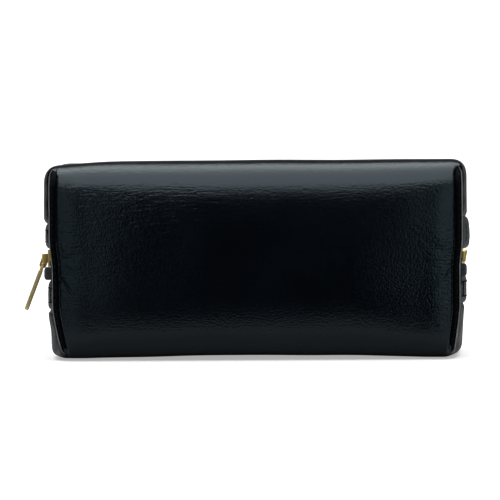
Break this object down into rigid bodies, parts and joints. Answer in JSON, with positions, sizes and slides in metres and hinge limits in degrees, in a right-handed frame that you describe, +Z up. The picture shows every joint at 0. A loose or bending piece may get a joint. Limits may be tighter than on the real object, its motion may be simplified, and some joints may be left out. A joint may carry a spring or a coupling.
{
  "type": "makeup bag",
  "caption": "Boxy smooth leather makeup bag with a metal zip that runs over the top and down both ends between folded facings, and a hanging flat bar pull.",
  "frame": {"origin": "middle of the flat back wall, on the surface that the bag lies on", "axes": "+X along the length, away from the closed slider's end; +Y from the base to the zip on top; +Z up, from the back wall to the front wall"},
  "size_m": [0.22, 0.117, 0.099],
  "materials": {
    "outer_leather": "smooth fine grain, semi-gloss",
    "facing_leather": "folded smooth leather, semi-gloss",
    "seam_edge": "stitched, painted edge",
    "foam_padding": "thin felted foam",
    "cloth_lining": "plain weave cloth",
    "pocket_binding": "thin folded strip",
    "zip_tape": "woven twill tape",
    "zip_metal": "polished",
    "slider_gold": "polished",
    "pull_gold": "polished, lightly handled",
    "pin_steel": "satin"
  },
  "bodies": {
    "bag_body": {"body_leather": "outer_leather", "body_padding": "foam_padding", "body_lining": "cloth_lining", "left_seam": "seam_edge", "right_seam": "seam_edge", "back_facing": "facing_leather", "front_facing_ends": "facing_leather", "back_tape": "zip_tape", "front_tape_ends": "zip_tape", "back_teeth": "zip_metal", "front_teeth_ends": "zip_metal", "back_top_stop": "zip_metal", "front_top_stop": "zip_metal", "bottom_stop": "zip_metal", "left_tape_end": "zip_tape", "right_tape_end": "zip_tape", "inner_pocket": "cloth_lining", "pocket_binding": "pocket_binding"},
    "front_flap": {"front_leather": "outer_leather", "front_padding": "foam_padding", "front_lining": "cloth_lining", "front_facing": "facing_leather", "front_tape": "zip_tape", "front_teeth": "zip_metal"},
    "zip_slider": {"slider_body": "slider_gold", "slider_crown": "slider_gold", "lock_pin": "pin_steel"},
    "pull_link_body": {"pull_link": "pull_gold"},
    "pull_bar_body": {"pull_bar": "pull_gold"}
  },
  "joints": [
    {"name": "mouth_open", "type": "hinge", "parent": "bag_body", "child": "front_flap", "pos_m": [0, -0.01757, 0.099], "axis": [1, 0, 0], "range_deg": [0, 28]},
    {"name": "zip_slide", "type": "slide", "parent": "bag_body", "child": "zip_slider", "axis": [0, 1, 0], "range_m": [0, 0.06]},
    {"name": "link_swing", "type": "hinge", "parent": "zip_slider", "child": "pull_link_body", "pos_m": [-0.1048, -0.0339, 0.0505], "axis": [0, 1, 0], "range_deg": [0, 130]},
    {"name": "pull_swing", "type": "hinge", "parent": "pull_link_body", "child": "pull_bar_body", "pos_m": [-0.10609, -0.0339, 0.04714], "axis": [0.9336, 0, -0.3584], "range_deg": [-70, 70]}
  ]
}
